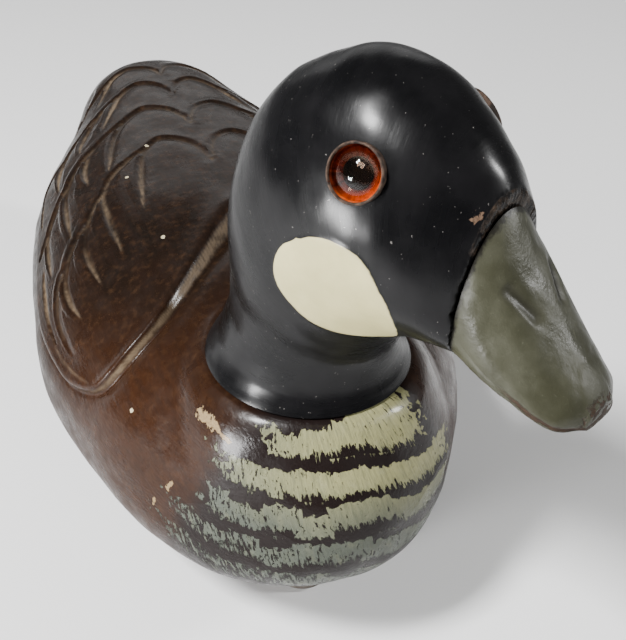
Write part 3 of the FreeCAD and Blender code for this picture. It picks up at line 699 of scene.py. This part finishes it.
def body_fields(points):
    """Numbers that the body's paint follows: breast place, warmth of the stain."""
    x, y, z = points.T
    ahead = NECK_Y - y
    swing = np.degrees(np.arctan2(x, ahead))
    reach = np.hypot(x, ahead)
    down = (86 - z) * 0.85 + (reach - 27.5) * 0.5
    down = down - 0.28 * np.maximum(x - 2, 0) - 0.3
    breast = np.stack([np.radians(swing) * 40, down, np.abs(swing)], axis=-1)
    low = smooth_step(88, 66, z)
    forward = smooth_step(30, -40, y)
    wing = smooth_step(-38, -14, y - 0.2 * np.abs(x))
    tone = np.clip(0.05 + 0.55 * low * forward + 0.4 * smooth_step(-20, -45, y) + 0.18 * (1 - wing), 0, 1)
    return breast, tone


def rounded_bar(length, width, low, high, middle):
    """Points and faces of an upright prism with half-round ends, for cutting."""
    radius, reach = width / 2, (length - width) / 2
    angles = np.linspace(0, math.pi, 33)
    ring = [(radius * math.cos(a), reach + radius * math.sin(a)) for a in angles]
    ring += [(-radius * math.cos(a), -reach - radius * math.sin(a)) for a in angles]
    points = np.array([(x + middle[0], y + middle[1], z) for z in (low, high) for x, y in ring])
    return points, grid_faces(2, len(ring))


def cut_from(piece, cutters):
    """Takes the cutters out of a piece and removes them."""
    for cutter in cutters:
        change = piece.modifiers.new("cut", "BOOLEAN")
        change.operation = "DIFFERENCE"
        change.solver = "EXACT"
        change.object = cutter
    bpy.context.view_layer.update()
    result = bpy.data.meshes.new_from_object(piece.evaluated_get(bpy.context.evaluated_depsgraph_get()))
    piece.modifiers.clear()
    piece.data = result
    for cutter in cutters:
        bpy.data.objects.remove(cutter)


def vertices_of(mesh):
    flat = np.empty(len(mesh.vertices) * 3)
    mesh.vertices.foreach_get("co", flat)
    return flat.reshape(-1, 3)


def make_body():
    """The carved block, its grid crowded where the wing's front edge and the ends need it."""
    rows, top_columns, low_columns = 430, 300, 70
    end = BODY_FRONT + BODY_LENGTH
    y = crowded(BODY_FRONT, end, rows, lambda y: 1 + 1.6 * np.exp(-((y + 22) / 20) ** 2)
                + 2 * np.exp((BODY_FRONT - y) / 5) + 2 * np.exp((y - end) / 5))
    station = np.clip(station_at(y), 2.0, 178.5)
    upper = crowded(0, math.pi, top_columns + 1,
                    lambda a: 1 + 1.2 * np.exp(-((np.abs(a - 1.57) - 0.95) / 0.3) ** 2))
    angle = np.concatenate([upper[:-1], np.linspace(math.pi, 2 * math.pi, low_columns, endpoint=False)])
    grid = body_surface(station[:, None], angle[None, :])
    points, outward = grid.reshape(-1, 3), normals_of(grid, (0, 20, 55)).reshape(-1, 3)
    height, _ = carving(points, outward)
    free = smooth_step(BODY_FLOOR + 1, BODY_FLOOR + 8, points[:, 2])
    neck = smooth_step(29, 33, np.hypot(points[:, 0], points[:, 1] - NECK_Y))
    shaped = points + outward * ((height + tool_marks(points)) * free * neck)[:, None]
    body = mesh_object("carved_body", shaped, grid_faces(rows, len(angle)), HULL, "stained_wood")
    recess = rounded_bar(*BOARD_RECESS, CUT_LOW, CUT_HIGH, (0, 10))
    # A hair narrower than it is long, so that its two half rounds don't share points.
    well = rounded_bar(NECK_WELL, NECK_WELL - 0.01, CUT_LOW, CUT_HIGH, (0, NECK_Y))
    cut_from(body, [mesh_object("cutter", *shape, None, None) for shape in (recess, well)])
    mesh = body.data
    mesh.set_sharp_from_angle(angle=math.radians(50))
    placed = vertices_of(mesh) / MM
    flat_normals = np.empty(len(mesh.vertices) * 3)
    mesh.vertices.foreach_get("normal", flat_normals)
    # How pale each groove is: bare wood and a painted highlight on its lit wall.
    _, bare_wood_and_highlight = carving(placed, flat_normals.reshape(-1, 3))
    breast, tone = body_fields(placed)
    add_attribute(mesh, "breast", breast)
    add_attribute(mesh, "tone", tone)
    add_attribute(mesh, "groove", bare_wood_and_highlight)
    mesh.materials.clear()
    mesh.materials.append(body_material())
    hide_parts("body_shell")


# ---- head

EYE = np.array([21.2, -28.7, 72.4])
PATCH_MIDDLE = (24.8, 45.8)
PATCH_WAY = (0.55, -0.835)


def patch_distance(points):
    """Millimetres outside the cheek patch's edge, less than zero inside."""
    forward, up = -points[:, 1] - PATCH_MIDDLE[0], points[:, 2] - PATCH_MIDDLE[1]
    along = forward * PATCH_WAY[0] + up * PATCH_WAY[1]
    across = forward * -PATCH_WAY[1] + up * PATCH_WAY[0]
    tail = np.clip(1 - (np.maximum(along, 0) / 18.4) ** 3.2, 0, 1) ** 0.64
    head = np.sqrt(np.clip(1 - (np.minimum(along, 0) / 11) ** 2, 0, 1))
    half = 12.5 * np.where(along > 0, tail, head)
    outside = np.abs(across) - half * np.where(across > 0, 1.14, 1.0)
    ends = np.maximum(along - 18.4, -11 - along)
    return np.maximum(np.maximum(outside * 0.8, ends), 25 * (np.abs(points[:, 0]) < 3) - 20)


def head_form(points, outward):
    """Relief of the head: eye dish, cheek paint, slight unevenness."""
    to_eye = np.linalg.norm(mirrored(points) - EYE, axis=1)
    dish = -0.5 * np.exp(-(to_eye / 9.5) ** 2)
    paint = 0.18 * smooth_step(0.5, -0.5, patch_distance(points))
    rough = 0.22 * noise(points, 30, 21) + 0.07 * noise(points, 9, 22)
    return dish + paint + rough


def make_head():
    """Head and neck in one piece, with a ragged, stepped end where the bill starts."""
    rows, columns = 250, 300
    fan = np.linspace(0, 90, rows)
    angle = np.linspace(0, 2 * math.pi, columns, endpoint=False) - math.pi / 2
    grid = head_surface(fan[:, None], angle[None, :])
    points, outward = grid.reshape(-1, 3), normals_of(grid, (0, -19, 45)).reshape(-1, 3)
    seam = smooth_step(0, 2.5, points[:, 2])
    near_root = smooth_step(89.0, 90, np.repeat(fan, columns))
    height = head_form(points, outward) * seam - 0.15 * near_root ** 2
    shaped = points + outward * height[:, None]
    ragged = 0.3 * noise(points, 4.4, 31) + 0.3 * np.abs(noise(points, 1.9, 32))
    shaped[:, 1] += near_root * ragged
    steps_along = np.linalg.norm(np.diff(grid, axis=0, prepend=grid[:1]), axis=-1)
    steps_round = np.linalg.norm(grid - np.roll(grid, 1, axis=1), axis=-1)
    flow = np.stack([np.cumsum(steps_along.mean(1))[:, None] + 0 * steps_along,
                     np.cumsum(steps_round, axis=1), grid[..., 0] * 0], axis=-1).reshape(-1, 3)
    top_only = smooth_step(58, 64, points[:, 2])
    front = near_root * top_only
    rims = [(0.93, 0.15), (0.8, 0.5), (0.3, 0.6)]
    last = shaped.reshape(rows, columns, 3)[-1]
    heart = np.array([0, -BILL_ROOT, 48])
    rings, ring_flow = [], []
    for scale, back in rims:
        ring = heart + (last - heart) * scale
        ring[:, 1] = last[:, 1] + back * 0.6
        rings.append(ring)
        ring_flow.append(flow.reshape(rows, columns, 3)[-1])
    shaped = np.vstack([shaped] + rings)
    flow = np.vstack([flow] + ring_flow)
    front = np.concatenate([front] + [top_only.reshape(rows, columns)[-1]] * len(rims))
    patch = patch_distance(shaped)
    body = mesh_object("painted_head", shaped, grid_faces(rows + len(rims), columns), HEAD,
                       "black_painted_wood", world=False,
                       attributes={"flow": flow, "patch": patch, "front": front})
    cut_from(body, [eye_pocket(side) for side in (-1, 1)])
    body.data.set_sharp_from_angle(angle=math.radians(48))
    body.data.materials.clear()
    body.data.materials.append(head_material())
    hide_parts("head")


def eye_axes(side):
    """The eye's middle and its outward, upward and sideways directions, in the head's frame."""
    swing, lift = math.radians(EYE_SWING[side]), math.radians(EYE_LIFT)
    out = np.array([side * math.cos(lift) * math.cos(swing), -math.cos(lift) * math.sin(swing),
                    math.sin(lift)])
    across = np.cross([0, 0, 1], out)
    across /= np.linalg.norm(across)
    return EYE * np.array([side, 1, 1]), out, np.cross(out, across), across


def eye_turning(side, profile, steps):
    """Points turned about the eye's axis from a profile of (radius, height), and their angles."""
    middle, out, up, across = eye_axes(side)
    ring = np.linspace(0, 2 * math.pi, steps, endpoint=False)
    rim = np.cos(ring)[:, None] * across + np.sin(ring)[:, None] * up
    return np.vstack([middle + out * h + max(r, 0.01) * rim for r, h in profile]), ring


def eye_pocket(side):
    """The rod that cuts an eye's hole."""
    points, _ = eye_turning(side, [(EYE_POCKET, -5.4), (EYE_POCKET, 6)], 64)
    return mesh_object("pocket", points, grid_faces(2, 64), None, None, world=False)


def turned_eye_piece(name, side, profile, material, slot):
    """A piece turned about the eye's axis from a profile of (radius, height)."""
    steps = 72
    points, ring = eye_turning(side, profile, steps)
    ring_share = np.repeat([r / EYE_REACH for r, _ in profile], steps)
    spoke = np.stack([-side * np.cos(ring) * 3, np.sin(ring) * 3, 0 * ring], axis=-1)
    spoke = np.tile(spoke, (len(profile), 1))
    piece = mesh_object(name, points, grid_faces(len(profile), steps), HEAD, slot, world=False,
                        attributes={"ring": ring_share, "spoke": spoke})
    piece.data.materials.append(material)
    return piece


def make_eyes():
    iris, pupil, glass, putty = eye_materials()
    dome_radius, proud = 7.0, 1.2
    dome = [(r, proud - dome_radius + math.sqrt(dome_radius ** 2 - r * r))
            for r in np.linspace(5.55, 0, 26)]
    for side, name in ((-1, "right"), (1, "left")):
        back = [(0, -2.35), (2.6, -2.3), (4.6, -2.0), (5.5, -1.5)]
        lens = turned_eye_piece("eye_lens_" + name, side, back + dome, glass, "eye_glass")
        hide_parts("eye_glass_" + name)
        cup = [(0, -2.62), (2.4, -2.6), (3.4, -2.5), (4.6, -2.2), (5.58, -1.65), (5.62, -0.4), (5.66, -1.9),
               (4.6, -2.6), (0, -3.0)]
        turned_eye_piece("eye_iris_" + name, side, cup, iris, "eye_glass")
        disc = [(0, -2.37), (1.9, -2.37), (2.75, -2.42), (2.85, -2.56), (2.6, -2.6), (0, -2.6)]
        black = turned_eye_piece("eye_pupil_disc_" + name, side, disc, pupil, "eye_black")
        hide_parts("eye_pupil_" + name)
        bed = [(0, -5.3), (6.0, -5.3), (6.25, -1.2), (6.35, -0.35), (6.15, 0.05), (5.9, 0.0), (5.7, -0.4),
               (5.68, -1.7), (4.8, -2.75), (0, -3.1)]
        ring = turned_eye_piece("eye_putty_ring_" + name, side, bed, putty, "putty")
        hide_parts("eye_putty_" + name)


# ---- bill

def make_bill():
    """The bill with its nostrils, hollow sides, mouth line and nail."""
    rows, columns = 170, 200
    tip_rows = 40
    share = np.concatenate([np.linspace(0, 0.9, rows - tip_rows, endpoint=False),
                            1 - 0.1 * np.linspace(1, 0, tip_rows) ** 1.6])
    angle = np.linspace(0, 2 * math.pi, columns, endpoint=False) - math.pi / 2
    grid = bill_surface(share[:, None], angle[None, :])
    points, outward = grid.reshape(-1, 3), normals_of(grid, (0, -66, 44)).reshape(-1, 3)
    run = np.repeat(share, columns)
    start, end = np.array([7.2, -59.5, 54.0]), np.array([4.9, -65.5, 50.2])
    reach, folded = end - start, mirrored(points)
    t = np.clip(((folded - start) @ reach) / (reach @ reach), 0, 1)
    gap = np.linalg.norm(folded - start - t[:, None] * reach, axis=1)
    dent = np.exp(-(gap / 1.5) ** 2)
    low, high = through(BILL_FLOOR, run), through(CULMEN, run)
    widest = low + (high - low) * BILL_WIDEST
    over = points[:, 2] - widest
    hollow = np.exp(-((over / np.maximum(high - widest, 1) - 0.5) / 0.24) ** 2) * smooth_step(0.05, 0.3, run)
    hollow *= 1 - smooth_step(0.8, 0.95, run)
    rim_line = over + 0.2
    mouth = np.exp(-(rim_line / 0.5) ** 2) * smooth_step(0.06, 0.2, run) * (1 - smooth_step(0.93, 0.99, run))
    to_nail = np.hypot(points[:, 0], (points[:, 1] + 80.5) * 0.8)
    nail = smooth_step(5.2, 3.8, to_nail) * (points[:, 2] > widest)
    height = -0.9 * dent - 0.55 * hollow - 0.3 * mouth + 0.15 * nail
    height += 0.2 * noise(points, 14, 41) + 0.06 * noise(points, 4, 42)
    height *= smooth_step(0.0, 0.06, run) * 0.6 + 0.4
    shaped = points + outward * height[:, None]
    from_root = run * BILL_LENGTH
    place = np.stack([run, rim_line, from_root], axis=-1)
    bill = mesh_object("painted_bill", shaped, grid_faces(rows, columns), HEAD, "olive_painted_wood",
                       world=False, attributes={"bill": place, "nostril": dent})
    bill.data.set_sharp_from_angle(angle=math.radians(60))
    bill.data.materials.append(bill_material())
    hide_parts("bill")


# ---- carried-over nodes

def dress_nodes():
    """Gives the CAD nodes that stay in view their materials."""
    board = plain_wood("dark_board", (0.02, 0.011, 0.007), (0.07, 0.032, 0.017), 0.4)
    keel = plain_wood("worn_keel", (0.045, 0.036, 0.03), (0.15, 0.125, 0.105), 0.5)
    pale = plain_wood("bare_dowel", (0.28, 0.17, 0.08), (0.5, 0.34, 0.19), 0.5, (1, 1, 14))
    brass = metal("dull_brass", (0.5, 0.36, 0.15), (0.16, 0.12, 0.07), 0.35)
    zinc = metal("zinc_steel", (0.52, 0.53, 0.55), (0.3, 0.29, 0.28), 0.3)
    lead = metal("cast_lead", (0.2, 0.2, 0.215), (0.1, 0.1, 0.105), 0.5, 0.85, 0.2)
    choice = {"bottom_board": board, "keel": keel, "neck_plug": pale, "neck_dowel": pale, "bill_dowel": pale,
              "board_screws": brass, "keel_screws": brass, "ballast_screws": brass, "ballast_weight": lead,
              "neck_washer": zinc, "neck_bolt": zinc, "eye_wire_right": zinc, "eye_wire_left": zinc}
    for name, material in choice.items():
        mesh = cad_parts[name].data
        mesh.materials.clear()
        mesh.materials.append(material)


# ---- stage

def make_camera():
    """The picture's viewpoint, tipped by the picture's roll."""
    azimuth, elevation, roll = math.radians(-21.75), math.radians(37.3), math.radians(3.45)
    target, distance = Vector((0.0028, -0.0532, 0.0916)), 0.261
    back = Vector((math.sin(azimuth) * math.cos(elevation), -math.cos(azimuth) * math.cos(elevation),
                   math.sin(elevation)))
    right = Vector((math.cos(azimuth), math.sin(azimuth), 0))
    up = back.cross(right)
    turned_right = right * math.cos(roll) + up * math.sin(roll)
    turned_up = up * math.cos(roll) - right * math.sin(roll)
    place = Matrix((turned_right, turned_up, back)).transposed().to_4x4()
    place.translation = target + back * distance
    data = bpy.data.cameras.new("camera")
    data.lens = 54.6
    data.clip_start = 0.01
    data.clip_end = 20
    camera = bpy.data.objects.new("camera", data)
    camera.matrix_world = place
    bpy.context.scene.collection.objects.link(camera)
    bpy.context.scene.camera = camera


def add_light(name, azimuth, elevation, distance, width, height, power):
    """A soft panel that faces the head; azimuth 0 is in front of the bird, positive to its left."""
    a, e = math.radians(azimuth), math.radians(elevation)
    way = Vector((math.sin(a) * math.cos(e), -math.cos(a) * math.cos(e), math.sin(e)))
    data = bpy.data.lights.new(name, "AREA")
    data.shape = "RECTANGLE"
    data.size, data.size_y = width, height
    data.energy = power
    light = bpy.data.objects.new(name, data)
    light.location = Vector((0, -0.04, 0.1)) + way * distance
    light.rotation_euler = (-way).to_track_quat("-Z", "Y").to_euler()
    bpy.context.scene.collection.objects.link(light)


def clear_from_below(shader):
    """Lets the underside of the object be seen through the floor."""
    tree = shader.tree
    side = tree.nodes.new("ShaderNodeNewGeometry")
    clear = tree.nodes.new("ShaderNodeBsdfTransparent")
    choice = tree.nodes.new("ShaderNodeMixShader")
    tree.links.new(side.outputs["Backfacing"], choice.inputs[0])
    tree.links.new(shader.surface.outputs[0], choice.inputs[1])
    tree.links.new(clear.outputs[0], choice.inputs[2])
    tree.links.new(choice.outputs[0], tree.nodes["Material Output"].inputs[0])


def make_stage():
    shader = Shader("pale_floor")
    shader.set(Base_Color=shader.mix(shader.noise(300), (0.8, 0.8, 0.8), (0.82, 0.82, 0.815)), Roughness=0.9)
    clear_from_below(shader)
    points = np.array([(x, y, -0.3) for x in (-4000, 4000) for y in (-4000, 4000)], float)
    floor = mesh_object("floor", points, [(0, 2, 3, 1)], None, None)
    floor.data.materials.append(shader.material)
    make_world()
    add_light("window", -74, 54, 1.1, 0.16, 0.25, 30)
    add_light("window_low", -71, 3, 0.55, 0.13, 0.09, 4.8)
    add_light("window_right", 70, 28, 1.2, 0.1, 0.22, 10)
    add_light("room", 165, 20, 1.8, 1.6, 0.7, 3)


def make_world():
    """Pale round the horizon and dim overhead, as in a room with pale walls."""
    world = bpy.data.worlds.new("studio")
    world.use_nodes = True
    tree = world.node_tree
    place = tree.nodes.new("ShaderNodeTexCoord")
    parts = tree.nodes.new("ShaderNodeSeparateXYZ")
    fade = tree.nodes.new("ShaderNodeMapRange")
    fade.interpolation_type = "SMOOTHSTEP"
    for socket, number in zip(fade.inputs[1:5], (-0.1, 0.5, 0.2, 0.12)):
        socket.default_value = number
    tree.links.new(place.outputs["Generated"], parts.inputs[0])
    tree.links.new(parts.outputs[2], fade.inputs[0])
    tree.links.new(fade.outputs[0], tree.nodes["Background"].inputs[1])
    tree.nodes["Background"].inputs[0].default_value = (1, 1, 1, 1)
    bpy.context.scene.world = world


make_camera()
make_stage()
make_body()
make_head()
make_eyes()
make_bill()
dress_nodes()
